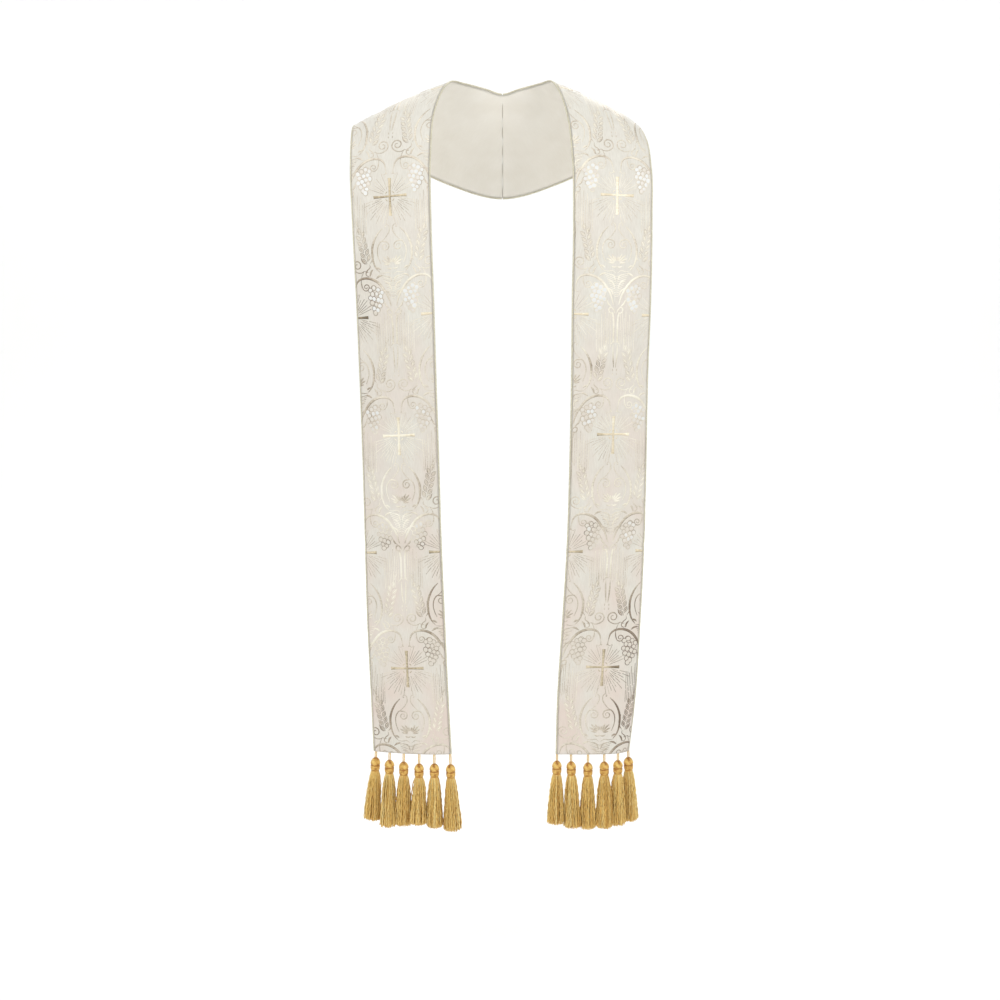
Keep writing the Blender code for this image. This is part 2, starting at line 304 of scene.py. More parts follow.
def make_brocade():
    """Satin ground: warp floats, a faint cloudiness, duller filling, and casts that warm to the hem."""
    s = Surface("ivory_brocade", roughness=0.46, sheen=0.25, specular=0.45)
    clouds = s.noise(60, 38, detail=3.0)
    slubs = s.noise(2600, 70)
    ground = s.ramp(clouds, (0.3, 224, 221, 211), (0.72, 234, 232, 223))
    filled = s.mix(s.scaled(s.noise(260, 120), 0.34), ground, paint(206, 201, 185))
    streaks = s.ramp(s.noise(640, 85, 1.5, 0.6), (0.4, 206, 196, 180), (0.6, 246, 242, 232))
    casts = s.node("MapRange", "Result", {
        "Value": s.noise(17, 11), "From Min": 0.36, "From Max": 0.64, "To Min": 0.05, "To Max": 0.95})
    up = s.node("SeparateXYZ", "Y", {"Vector": s.cloth_place()})
    warmth = s.scaled(casts, s.scaled(up, -1.15, 1.22))
    tinted = s.mix(warmth, s.mix(0.17, filled, streaks), paint(226, 210, 198))
    colour = s.mix(0.16, tinted, s.ramp(slubs, (0.3, 202, 194, 181), (0.7, 240, 236, 229)))
    weave = s.scaled(s.threads(THREAD_PITCH * 1.3, WEFTWISE), 0.55, s.threads(THREAD_PITCH))
    normal = s.bump(weave, 0.05, 0.55, Normal=s.bump(slubs, 0.1, 0.5))
    return s.finish(colour, Normal=normal, Roughness=s.scaled(clouds, 0.16, 0.38))


def make_lining():
    """Plain cream lining satin behind the brocade and over the rims."""
    s = Surface("cream_lining", roughness=0.5, sheen=0.2, specular=0.4)
    slubs = s.noise(90, 1800)
    colour = s.mix(0.2, s.ramp(s.noise(40, 24, detail=3.0), (0.3, 233, 228, 217), (0.7, 240, 236, 227)),
                   s.ramp(slubs, (0.3, 222, 215, 202), (0.7, 247, 243, 235)))
    weave = s.threads(THREAD_PITCH, WEFTWISE)
    return s.finish(colour, Normal=s.bump(weave, 0.05, 0.5, Normal=s.bump(slubs, 0.08, 0.5)))


LINE_COLOURS = ((0.06, 130, 115, 100), (0.26, 168, 155, 136), (0.42, 203, 191, 173),
                (0.56, 223, 214, 198), (0.72, 239, 233, 216), (0.92, 250, 245, 232))
CROSS_COLOURS = ((0.1, 116, 105, 87), (0.3, 166, 152, 126), (0.46, 207, 192, 163),
                 (0.62, 234, 221, 193), (0.84, 252, 246, 227))


def make_gold(name, colours):
    """Lame wefts, their tone painted reflection: pale as if catching the light, olive-brown as if turned
    from it.
    """
    s = Surface(name, roughness=0.4, metallic=0.55, specular=0.5)
    glints = s.noise(260, 420)
    # Painted glints and patches of reflection, added to the tone.
    uneven = s.scaled(s.noise(34, 20, roughness=0.6), 0.75, s.scaled(glints, 0.45, -0.6))
    colour = s.ramp(s.scaled(s.tone(), 1.0, uneven), *colours)
    wefts = s.threads(LAME_PITCH, WEFTWISE)
    return s.finish(colour, Normal=s.bump(wefts, 0.06, 0.7, Normal=s.bump(glints, 0.12, 0.6)))


def make_silver_white():
    """The floats that fill the grapes: white satin with a little metal, duller near the hem."""
    s = Surface("white_floats", roughness=0.32, metallic=0.08, sheen=0.2, specular=0.6)
    tone = s.scaled(s.tone(), 1.0, s.scaled(s.noise(26, 9), 1.0, -0.5))
    colour = s.ramp(tone, (0.0, 222, 214, 202), (0.35, 228, 222, 213), (0.9, 233, 233, 230))
    return s.finish(colour, Normal=s.bump(s.threads(LAME_PITCH, WEFTWISE), 0.05, 0.6))


def make_edge_cord():
    s = Surface("edge_cord_thread", roughness=0.5, metallic=0.1, sheen=0.2)
    colour = s.ramp(s.noise(500, 60), (0.3, 204, 198, 172), (0.55, 225, 219, 196), (0.75, 242, 238, 219))
    return s.finish(colour, Normal=s.bump(s.noise(3000, 500), 0.12, 0.6))


def make_tassel_thread():
    """Rayon thread: each strand has its own tone, and a fine twist that catches the light."""
    s = Surface("tassel_thread", roughness=0.46, metallic=0.15, sheen=0.1, specular=0.4)
    tone = s.scaled(s.tone(), 0.6, s.scaled(s.noise(300, 260), 0.5))
    colour = s.ramp(tone, (0.12, 166, 108, 46), (0.36, 218, 172, 88), (0.6, 246, 210, 124),
                    (0.9, 254, 236, 172))
    return s.finish(colour, Normal=s.bump(s.threads(TWIST_PITCH, 0.7, 0.2), 0.1, 0.6))


def make_backdrop():
    s = Surface("pale_studio", roughness=0.9, specular=0.1)
    place = s.node("TexCoord", "Object", {})
    clouds = s.node("TexNoise", "Fac", {"Vector": place, "Scale": 0.7, "Detail": 3.0})
    return s.finish(s.ramp(clouds, (0.3, 252, 252, 251), (0.7, 254, 254, 253)))


# ================ how the cloth lies
def unit(vectors):
    return vectors / np.maximum(np.linalg.norm(vectors, axis=-1, keepdims=True), 1e-12)


def together(*coordinates):
    """Coordinates as one array of points, each spread to the shape that they share."""
    return np.stack(np.broadcast_arrays(*coordinates), axis=-1)


def distance_along(points):
    """How far along a line each of its points lies."""
    return np.concatenate([[0], np.cumsum(np.linalg.norm(np.diff(points, axis=0), axis=1))])


def full_turn(steps):
    return np.linspace(0, 2 * pi, steps, endpoint=False)


def mirrored(point):
    return Vector((-point.x, point.y, point.z))


def section_profile(section):
    """Across the section: how far along its direction and how far out each column lies."""
    length = CLOTH_WIDTH * section.spread
    step = length / (2 * CELLS)
    run = (np.arange(2 * CELLS) + 0.5) * step
    over = np.maximum(0, run - (length - CURL_REACH)) / CURL_REACH
    tilt = radians(section.bend) * (run / length - 0.5) + radians(section.curl) * over
    places = np.vstack([(0, 0), np.cumsum(step * together(np.cos(tilt), -np.sin(tilt)), axis=0)])
    return (places - places[CELLS])[::2]


def section_rows(sections):
    """The points of each section, in the right-hand side's coordinates."""
    middles = [Vector((section.side, -section.fore, section.up)) for section in sections]
    beyond = middles + [mirrored(middles[-2])]
    rows = []
    for index, section in enumerate(sections):
        way = (beyond[index + 1] - beyond[max(index - 1, 0)]).normalized()
        lean, turn = radians(section.lean), radians(section.turn)
        direction = Vector((cos(lean) * cos(turn), cos(lean) * sin(turn), -sin(lean)))
        outward = direction.cross(way).normalized()
        rows.append([middles[index] + direction * a + outward * o for a, o in section_profile(section)])
    return rows


def between(p0, p1, p2, p3, share):
    """A smooth curve from p1 to p2, with its slopes taken from the neighbours' distances."""
    d0, d1, d2 = (p1 - p0).length, (p2 - p1).length, (p3 - p2).length
    slope1 = (p2 - p1) if d0 == 0 else ((p1 - p0) / d0 * d1 + (p2 - p1) / d1 * d0) * d1 / (d0 + d1)
    slope2 = (p2 - p1) if d2 == 0 else ((p2 - p1) / d1 * d2 + (p3 - p2) / d2 * d1) * d1 / (d1 + d2)
    s2, s3 = share * share, share ** 3
    return (p1 * (2 * s3 - 3 * s2 + 1) + slope1 * (s3 - 2 * s2 + share)
            + p2 * (3 * s2 - 2 * s3) + slope2 * (s3 - s2))


def cloth_grid(sections):
    """Rows of points over the whole half, smooth through its sections."""
    rows = section_rows(sections)
    framed = [rows[0], *rows, [mirrored(point) for point in rows[-2]]]
    grid = []
    for span, section in enumerate(sections[:-1]):
        count = section.rows * ROWS_PER_FACET
        columns = list(zip(*framed[span:span + 4]))
        grid += [[between(*column, step / count) for column in columns] for step in range(count)]
    return np.array([[tuple(point) for point in row] for row in grid + rows[-1:]])


def crease_height(creases, u, v):
    """How far the creases lift the cloth at u, v: each one fades out along and across its run."""
    height = np.zeros_like(u)
    for crease in creases:
        turn = radians(crease.angle)
        up, out = u / MM - crease.u, v / MM - crease.v
        along = (out * cos(turn) + up * sin(turn)) / crease.length
        near = (up * cos(turn) - out * sin(turn)) / crease.width
        across = 1.25 * np.exp(-near ** 2) - 0.25 * np.exp(-(near / 2.2) ** 2)
        height += crease.height * np.exp(-along ** 2) * across
    return height * MM


class Half:
    """One half of the stole: its middle surface as a grid, and places on it by u and v."""

    def __init__(self, hand, front, creases, gleams, lay):
        self.hand, self.gleams, self.lay = hand, gleams, lay
        self.points = cloth_grid(front + BACK)
        self.measure()
        v = np.broadcast_to(self.v, self.u.shape)
        seam = self.length - self.u
        puckers = 0.35 * MM * np.exp(-seam / 0.012) * np.sin(v / 0.0042 + 1.1 * np.sin(v / 0.019))
        tuck = -0.55 * MM * np.exp(-seam / 0.0035)
        lift = crease_height(creases, self.u, v) + np.where(seam > 0.0005, puckers, 0) + tuck
        self.points = self.points + self.normals * lift[..., None]
        self.points[-1, :, 0] = GAP / 2
        self.measure()
        for vectors in (self.points, self.normals, self.outward):
            vectors[..., 0] *= hand
        self.resample()

    def measure(self):
        """u and v of every point, the whole length of each column, and the ways out of the cloth."""
        steps = np.linalg.norm(np.diff(self.points, axis=0), axis=-1)
        self.u = np.vstack([np.zeros(CELLS + 1), np.cumsum(steps, axis=0)])
        self.length = self.u[-1]
        self.v = np.linspace(-HALF_WIDTH, HALF_WIDTH, CELLS + 1)
        self.outward = unit(np.gradient(self.points, axis=1))
        self.normals = unit(np.cross(self.outward, np.gradient(self.points, axis=0)))

    def resample(self):
        """Points and normals at even distances from the hem, for looking up places by u and v."""
        marks = np.arange(0, self.length.max() + 2 * U_STEP, U_STEP)

        def evened(values):
            return np.stack([together(*(np.interp(marks, self.u[:, j], values[:, j, k]) for k in range(3)))
                             for j in range(CELLS + 1)], axis=1)

        self.even_points, self.even_normals = evened(self.points), evened(self.normals)

    def at(self, u, v, height):
        """The points at u, v on the front of the cloth, lifted by height."""
        row = np.clip(u / U_STEP, 0, len(self.even_points) - 1.001)
        col = np.clip((v + HALF_WIDTH) / CLOTH_WIDTH * CELLS, 0, CELLS - 0.001)
        i, j = row.astype(int), col.astype(int)
        fi, fj = (row - i)[..., None], (col - j)[..., None]

        def blend(grid):
            low = grid[i, j] * (1 - fj) + grid[i, j + 1] * fj
            high = grid[i + 1, j] * (1 - fj) + grid[i + 1, j + 1] * fj
            return low * (1 - fi) + high * fi

        lift = np.broadcast_to(height + CLOTH_WALL / 2, u.shape)[..., None]
        return blend(self.even_points) + unit(blend(self.even_normals)) * lift

    def length_at(self, v):
        return np.interp(v, self.v, self.length)


# ================ building meshes
class MeshParts:
    """Collects grids of quads, with UVs in metres and a tone, for one object."""

    def __init__(self):
        self.points, self.faces, self.uvs, self.tones, self.slots = [], [], [], [], []
        self.count = 0

    def add(self, points, faces, uvs, tone=0.5, slot=0):
        points, faces = points.reshape(-1, 3), faces.reshape(-1, 4)
        self.points.append(points)
        self.faces.append(faces + self.count)
        self.uvs.append(uvs.reshape(-1, 2))
        self.tones.append(np.broadcast_to(np.ravel(tone), len(points)))
        self.slots.append(np.full(len(faces), slot))
        self.count += len(points)

    def add_grid(self, points, uvs, tone=0.5, slot=0, closed=False, flip=False):
        """points is rows x columns x 3. A closed grid's last column is joined to its first."""
        rows, columns = points.shape[:2]
        index = np.arange(rows * columns).reshape(rows, columns)
        if closed:
            index = np.concatenate([index, index[:, :1]], axis=1)
        corners = [index[:-1, :-1], index[:-1, 1:], index[1:, 1:], index[1:, :-1]]
        faces = np.stack(corners[::-1] if flip else corners, axis=-1)
        self.add(points, faces, uvs, np.broadcast_to(tone, (rows, columns)), slot)

    def make(self, name, *materials):
        points, faces, uvs = (np.concatenate(part) for part in (self.points, self.faces, self.uvs))
        mesh = bpy.data.meshes.new(name)
        mesh.from_pydata(points, [], faces)
        mesh.polygons.foreach_set("material_index", np.concatenate(self.slots).astype(np.int32))
        mesh.uv_layers.new(name="cloth").data.foreach_set("uv", uvs[faces.ravel()].ravel())
        tone = mesh.attributes.new("tone", "FLOAT", "POINT")
        tone.data.foreach_set("value", np.concatenate(self.tones))
        mesh.validate()
        mesh.shade_smooth()
        for material in materials:
            mesh.materials.append(material)
        return place_in_scene(name, mesh)


def place_in_scene(name, data):
    made = bpy.data.objects.new(name, data)
    bpy.context.scene.collection.objects.link(made)
    return made


def hold(piece, slot, *nodes):
    """Rides with the stole and stands for the CAD nodes; slot is not used."""
    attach(piece, "root")
    if nodes:
        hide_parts(*nodes)
    return piece


RIM_BULGE = 0.5 * MM
WELD_REACH = 0.005 * MM


def make_cloth(name, half, brocade, lining):
    """Front and back skins a wall apart, joined round all four rims by a soft fold."""
    parts = MeshParts()
    wall = half.normals * (CLOTH_WALL / 2)
    uvs = together(half.v, half.u)
    flip = half.hand < 0
    parts.add_grid(half.points + wall, uvs, slot=0, flip=flip)
    parts.add_grid(half.points - wall, uvs, slot=1, flip=not flip)

    def rim(line, away, reverse, bulge=RIM_BULGE):
        edge, side_wall = half.points[line], wall[line]
        rows = [edge + side_wall, edge + side_wall * 0.55 + away * bulge,
                edge - side_wall * 0.55 + away * bulge, edge - side_wall]
        parts.add_grid(np.stack(rows), np.stack([uvs[line]] * 4), slot=1, flip=reverse)

    down = unit(half.points[0] - half.points[1])
    rim(np.s_[:, 0], -half.outward[:, 0], not flip)
    rim(np.s_[:, -1], half.outward[:, -1], flip)
    rim(0, down, flip)
    rim(-1, -down, not flip, 0.0)
    piece = parts.make(name, brocade, lining)
    welded = bmesh.new()  # the skins joined to the rims where their points coincide
    welded.from_mesh(piece.data)
    bmesh.ops.remove_doubles(welded, verts=welded.verts, dist=WELD_REACH)
    welded.to_mesh(piece.data)
    welded.free()
    return piece


# ================ the woven pattern
# One repeat, in millimetres across and up from the middle of its cross. Each stroke but the cross's
# has a twin on the other side of the centre line.
REPEAT = 376
REPEATS = range(-1, 4)  # that reach the cloth of a half
HALF_DROP = REPEAT / 2
COLUMN = 70.5  # from a column of repeats to the half-dropped one beside it
FIRST_CROSS = 144  # its height above the hem

Stroke = namedtuple("Stroke", "name width points ends", defaults=["taper"])
Scroll = namedtuple("Scroll", "name width across up radius start turns tail")

STROKES = table(
    Stroke,
    ("vine", 4.4, [(6.5, 45), (8.5, 53), (13.5, 58.8), (21, 61.3), (29, 61.3), (38, 58.5),
        (46.5, 52.8), (53.5, 44.5), (59, 36), (63, 27), (66, 16)]),
    ("vine hook", 1.2, [(6.8, 46), (5.6, 40), (6.6, 36), (10, 34.6), (12.4, 37.2)]),
    ("tendril", 1.1, [(17.4, 46), (17, 54), (18, 62), (20.5, 69), (23.6, 73)]),
    ("curl on the bunch", 1, [(30, 40), (32.5, 46), (36.5, 50), (40.5, 49), (42, 46), (40, 44)]),
    ("fork hook", 1.7, [(33, 83), (33.5, 78), (28, 73), (26, 67.5), (29.6, 64.4), (33, 65.8)]),
    ("fork, low", 1.2, [(23.6, 73), (27.5, 71), (31, 71.4)]),
    ("stem bead, low", 2, [(3.4, 93), (3.4, 97)], "leaf"),
    ("stem bead, high", 2, [(3.4, 99.5), (3.4, 103.5)], "leaf"),
    ("stem foot", 2.4, [(1.4, 105), (2.6, 116), (3.4, 128), (3.7, 141)]),
    ("stem serif", 1.7, [(7.4, 142), (5, 144.5), (3.7, 149)]),
    ("stem cap", 1.4, [(0, 145.6), (4, 145.2)]),
    ("twin stem", 3.2, [(3.3, 146), (3.2, 160), (3.1, 174), (4, 184), (5.8, 192)], "even"),
    ("stem heart", 2.3, [(1, 190), (3.8, 196), (8, 199.6), (11.4, 196.4), (9.4, 191.6),
        (4.8, 189.6)]),
    ("stem leaf", 2.8, [(7.4, 201), (12.4, 205), (15.6, 212)], "leaf"),
    ("cone leaf", 2.6, [(4.6, -158), (8.4, -150), (15.8, -145.4)], "leaf"),
    ("pale cone leaf", 2.3, [(2.4, -148), (6, -138), (14.6, -132)], "leaf"),
    ("cone leaf, high", 2.2, [(1.6, -136), (4.6, -127.4), (12, -124)], "leaf"),
    ("ear leaf", 2.2, [(34, 84), (38.4, 91), (39, 100), (36.4, 109)], "leaf"),
    ("ear leaf, inner", 2, [(26, 83), (21, 88), (18.6, 95)], "leaf"),
    ("drop", 1.9, [(5.2, -33), (5.8, -37)], "leaf"),
    ("S-hook", 1.6, [(9.4, -48.4), (9, -45.2), (5.9, -44), (3.2, -47), (2.8, -54), (5.9, -60),
        (10.8, -66), (16, -70)]),
    ("lyre, outer", 3.7, [(14.4, -50), (22, -58), (28, -68), (31.6, -79), (32.4, -90),
        (31, -101), (27.4, -110.5), (21.4, -118)]),
    ("foot leaf, inner", 3, [(27, -111), (23, -111.4), (18.4, -114.6)], "leaf"),
    ("foot leaf, middle", 3, [(28, -128), (23, -124.2), (16.4, -123)], "leaf"),
    ("foot leaf, outer", 3, [(32, -113), (36, -117.5), (37.4, -124)], "leaf"),
    ("cone rim", 1.2, [(21.4, -119), (14, -120), (7, -119), (1, -123)]),
)

SCROLLS = table(
    Scroll,
    ("spiral under the vine", 1.6, 25.4, 47.6, 6.6, 178, 1.5, [(17.2, 57), (17.8, 52)]),
    ("C-scroll", 1.9, 11.6, 81.5, 9.4, 248, -1.5, [(23.6, 73), (18.6, 70.4), (12.8, 70.6)]),
    ("inner lyre", 1.9, 10.5, -78.2, 7.6, 84, 1.4, [(18.4, -105), (22, -96), (23.6, -87), (22, -77.5),
        (17, -70.6)]),
)

BALLS = ((4.6, 36.4, 1.3), (33, 66.4, 1.2), (8.4, -47.6, 1.3))  # across, up and radius

GRAPES = ((32.4, 42.4), (38.6, 45.8), (45.2, 42.6), (51.4, 38.2), (35.4, 36.6), (42.2, 36), (48.8, 32),
          (31.6, 30.4), (38.2, 28.8), (44.8, 26.6), (50.8, 24.4), (34.8, 22.6), (41, 20.2), (47.2, 17.6),
          (37.4, 14), (43.4, 11), (39.6, 7))
GRAPE_RADIUS = 4.15
GRAPE_STACK = 0.02  # how much higher each grape of a bunch lies than the one before it

EAR_FOOT = np.array([29.5, 84.0])
EAR_TIP = np.array([19.0, 130.0])
EAR_PAIRS = 5
GRAIN_LENGTH = 12.5
GRAIN_BULGE = 2.6
PALMETTE_FOOT = np.array([0.2, -108.0])


def polar(degrees, reach):
    angle = radians(degrees)
    return np.array([reach * cos(angle), reach * sin(angle)])


def ray_fans():
    """Fine broken rays round the cross: a long fan below each arm, a shorter one above it."""
    for index in range(11):
        degrees = -80 + index * 6.8
        low, high = 14 + 4.0 * (index % 2), 44 + 5.0 * sin(index * 2.9)
        name = "pale ray" if index % 3 == 1 else "ray"
        for start, stop in ((low, (low + high) / 2 - 1), ((low + high) / 2 + 1, high)):
            ends = [polar(degrees, start), polar(degrees, stop) * (0.98, 1) - (0, 0.6)]
            yield Stroke(name, 0.92, ends, "even")
    for index in range(8):
        degrees = 22 + index * 8.0
        ends = [polar(degrees, 12 + 3.0 * (index % 2)), polar(degrees, 35 + 4.0 * sin(index * 2.3))]
        yield Stroke("pale ray" if index % 2 else "ray", 0.88, ends, "even")


def beard():
    """Long upright awns beside the stem, over the ears of wheat."""
    for index in range(9):
        across = 8.0 + 2.9 * index
        low = 138 - 1.4 * index + 6.0 * sin(index * 1.9)
        high = 192 - 1.8 * index + 7.0 * sin(index * 2.7)
        gap = low + (high - low) * (0.45 + 0.1 * sin(index * 3.1))
        for heights in ((low, gap - 0.8), (gap + 0.8, high)):
            ends = [(across * (0.9 + 0.0006 * up), up) for up in heights]
            yield Stroke("pale awn" if index % 3 == 2 else "awn", 0.9, ends, "even")


def wheat_grains():
    """Grains in pairs up the stalk, as (start, end)."""
    axis = unit(EAR_TIP - EAR_FOOT)
    aside = np.array([axis[1], -axis[0]])
    for index in range(EAR_PAIRS):
        for side in (-1, 1):
            share = (index + 0.35 * (side > 0)) / EAR_PAIRS
            base = EAR_FOOT + (EAR_TIP - EAR_FOOT) * share + aside * side * 0.9
            yield base, base + unit(axis + aside * side * 0.64) * GRAIN_LENGTH
    yield EAR_TIP, EAR_TIP + axis * GRAIN_LENGTH


def wheat_ear():
    """Each grain is drawn as an almond in outline, and short awns stand at the tip."""
    for start, end in wheat_grains():
        way = unit(end - start)
        across = np.array([way[1], -way[0]])
        for bulge in (-GRAIN_BULGE, GRAIN_BULGE):
            yield Stroke("grain", 1.15, [start, (start + end) / 2 + across * bulge, end])
    for lean in (-0.22, 0.0, 0.2):
        yield Stroke("tip awn", 0.7, [end, end + (way + across * lean) * 15])


def palmette():
    """A small spread palmette of rounded leaves inside the lyre's foot."""
    for index in range(5):
        reach = 11.5 + 8.5 * sin(index * pi / 4.4)
        ends = [PALMETTE_FOOT + polar(79 - index * 17.5, distance) for distance in (4.0, reach)]
        yield Stroke("palmette leaf", 3.0, ends, "leaf")
    yield Stroke("palmette foot", 2.4, [(0.2, -112.5), (4.6, -113.6), (9, -111.8)], "leaf")


def cone_hatching():
    """Nested chevrons that fill the cone between the lyre and the vines under it."""
    for index in range(12):
        up = -122 - 3.3 * index
        reach = 20.0 - 1.5 * index
        ends = [(0.3, up - 0.34 * reach), (reach, up)]
        yield Stroke("pale chevron" if index % 2 else "chevron", 1.0, ends, "even")


def cross_strokes():
    """The one part without a twin: a plain cross with widened ends, and a small curl in each corner."""
    curl = np.array([(3.4, 7.6), (5.6, 6.2), (7.2, 3.8)])
    yield Stroke("cross upright", 5.2, [(0, 29.0), (0, -31.0)], "flared")
    yield Stroke("cross arm", 4.7, [(-26.8, 0), (26.8, 0)], "flared")
    for corner in ((-1, -1), (-1, 1), (1, -1), (1, 1)):
        yield Stroke("corner curl", 1.5, curl * corner, "leaf")


def smooth_line(points, step):
    """Points every step or so along a smooth curve through the given ones."""
    p = np.asarray(points, float)
    if len(p) == 2:
        count = max(2, int(np.linalg.norm(p[1] - p[0]) / step) + 1)
        return np.linspace(p[0], p[1], count)
    padded = np.vstack([2 * p[0] - p[1], p, 2 * p[-1] - p[-2]])
    line = []
    for a, b, c, d in zip(padded, padded[1:], padded[2:], padded[3:]):
        count = max(2, int(round(np.linalg.norm(c - b) / step)))
        t = np.linspace(0, 1, count, endpoint=False)[:, None]
        line.append(0.5 * (2 * b + (c - a) * t + (2 * a - 5 * b + 4 * c - d) * t ** 2
                           + (3 * b - a - 3 * c + d) * t ** 3))
    return np.vstack(line + [p[-1:]])


def scroll_line(scroll):
    """A tail that runs into a closing spiral."""
    share = np.linspace(0, 1, max(8, int(abs(scroll.turns) * 18)))
    angle = np.radians(scroll.start) + 2 * pi * scroll.turns * share
    radius = scroll.radius * (1 - 0.8 * share)
    wound = together(scroll.across + radius * np.cos(angle), scroll.up + radius * np.sin(angle))
    tail = smooth_line([*scroll.tail, wound[0]], 1.6)
    return np.vstack([tail[:-1], wound])


# How a line swells: its share of the width at its ends, the part of the swell that it runs
# through, and how full the swell is.
SWELLS = {"taper": (0.3, 1.0, 0.8), "leaf": (0.12, 1.0, 0.75), "wound": (0.45, 0.95, 0.7)}


def widths_along(line, width, ends):
    run = distance_along(line)
    share = run / run[-1]
    if ends == "even":
        return np.full(len(line), width)
    if ends == "flared":
        return width * (0.72 + 0.42 * np.abs(2 * share - 1) ** 3)
    least, part, power = SWELLS[ends]
    return width * (least + (1 - least) * np.sin(pi * part * share) ** power)


EDGE_MARGIN = 0.0006  # the pattern stops this far inside the cloth's edges
PATTERN_EDGE = HALF_WIDTH - EDGE_MARGIN
RIBBON_RISE = 0.34 * MM
EDGE_SHADE = 0.15  # how much darker a line's edges are: the binding threads' own colour, and painted shade where the floats slope down to the ground
CORE_TONE = 0.16  # how much paler the grains' filling is
PALE_TONE = 0.12  # and the strokes that are named pale
FINE_TONE = -0.01  # how much darker the other fine lines are
FINE_WIDTH = 0.95
PAINTED_RELIEF_LIGHT = 0.12  # painted highlight on a line's side to the upper left and painted shade on the other, as if lit from there
RING_TONE = -0.1  # how much darker the grapes' outlines are
HEM_TONE = 0.46  # of the metal thread near the hem
HIGH_TONE = 0.62  # and from the chest up
GRAPES_DULL = 0.28  # metres above the hem where the grapes are as dull as the ground
GRAPES_WHITE = 0.78  # and where they are white


def own_tone(stroke):
    if stroke.name.startswith("pale"):
        return PALE_TONE
    return FINE_TONE if stroke.width < FINE_WIDTH else 0.0


def pattern_lines():
    """One repeat's lines, twins included, and the lines of its cross, each as (line, widths, tone)."""
    twinned = [*STROKES, *ray_fans(), *beard(), *wheat_ear(), *palmette(), *cone_hatching()]
    shapes = [(smooth_line(s.points, LINE_STEP), s.width, s.ends, own_tone(s)) for s in twinned]
    shapes += [(scroll_line(s), s.width, "wound", 0.0) for s in SCROLLS]
    shapes += [(np.array([(a - r, b), (a, b + 0.1), (a + r, b)]), 2 * r, "leaf", 0.0) for a, b, r in BALLS]
    shapes += [(smooth_line([start * 0.8 + end * 0.2, start * 0.15 + end * 0.85], LINE_STEP), 2.3, "leaf",
                CORE_TONE) for start, end in wheat_grains()]
    lines = []
    for line, width, ends, tone in shapes:
        widths = widths_along(line, width, ends)
        lines += [(line, widths, tone), (line * (-1, 1), widths, tone)]
    cross = [(smooth_line(s.points, 2.0), s.width, s.ends) for s in cross_strokes()]
    return lines, [(line, widths_along(line, width, ends), 0.0) for line, width, ends in cross]


def clip_to_cloth(half, u, v):
    v = np.clip(v, -PATTERN_EDGE, PATTERN_EDGE)
    return np.clip(u, EDGE_MARGIN, half.length_at(v) - EDGE_MARGIN), v


def gleam_tone(half, u, v):
    """How pale the metal thread is painted at u, v, as painted reflection and shade that darkens towards the
    hem: about 0.5 is the ground's own tone, 0 nearly brown.
    """
    tone = HEM_TONE + (HIGH_TONE - HEM_TONE) * np.clip(u / 0.8, 0, 1)
    for gleam in half.gleams:
        up, out = (u - gleam.up) / gleam.tall, (v / HALF_WIDTH - gleam.across) / gleam.wide
        tone = tone + gleam.tone * np.exp(-(up ** 2 + out ** 2))
    return np.clip(tone, 0, 1)


# Across a line: the place as a share of its width, and the rise as a share of the full one.
WIDE_RIBBON = ((-0.5, -0.1), (-0.28, 0.8), (0.0, 1.0), (0.28, 0.8), (0.5, -0.1))
THIN_RIBBON = ((-0.5, -0.1), (0.0, 1.0), (0.5, -0.1))


def add_ribbon(parts, half, u, v, widths, tone):
    """A raised band of floats along a line on the cloth, its sides eased down to the ground."""
    way = unit(np.gradient(together(v, u), axis=0))
    places = np.array(THIN_RIBBON if widths.max() < 1.0 * MM else WIDE_RIBBON)
    top = half.length_at(np.clip(v, -PATTERN_EDGE, PATTERN_EDGE))
    inside = (np.abs(v) < PATTERN_EDGE + widths) & (u > -widths) & (u < top + widths)
    ends = np.diff(np.concatenate([[0], inside.astype(int), [0]]))
    for start, stop in zip(np.flatnonzero(ends == 1), np.flatnonzero(ends == -1)):
        if stop - start < 2:
            continue
        part = slice(start, stop)
        width, out, up = widths[part, None], way[part, 1:], -way[part, :1]
        share, rise = places[:, 0], places[:, 1]
        # Painted highlight and shade: the line's side to the upper left paler, the other darker.
        relief = 2 * PAINTED_RELIEF_LIGHT * (0.8 * up - 0.6 * half.hand * out) * share
        # The edges darker: the binding threads' colour and painted shade where the floats slope down to the
        # ground.
        own = gleam_tone(half, u[part], v[part])[:, None] - EDGE_SHADE * (1 - rise) + relief + tone
        pu, pv = clip_to_cloth(half, u[part, None] + up * width * share, v[part, None] + out * width * share)
        points = half.at(pu, pv, RIBBON_RISE * rise * np.minimum(1, width / (1.2 * MM)))
        parts.add_grid(points, together(pv, pu), np.maximum(own, 0), flip=half.hand > 0)


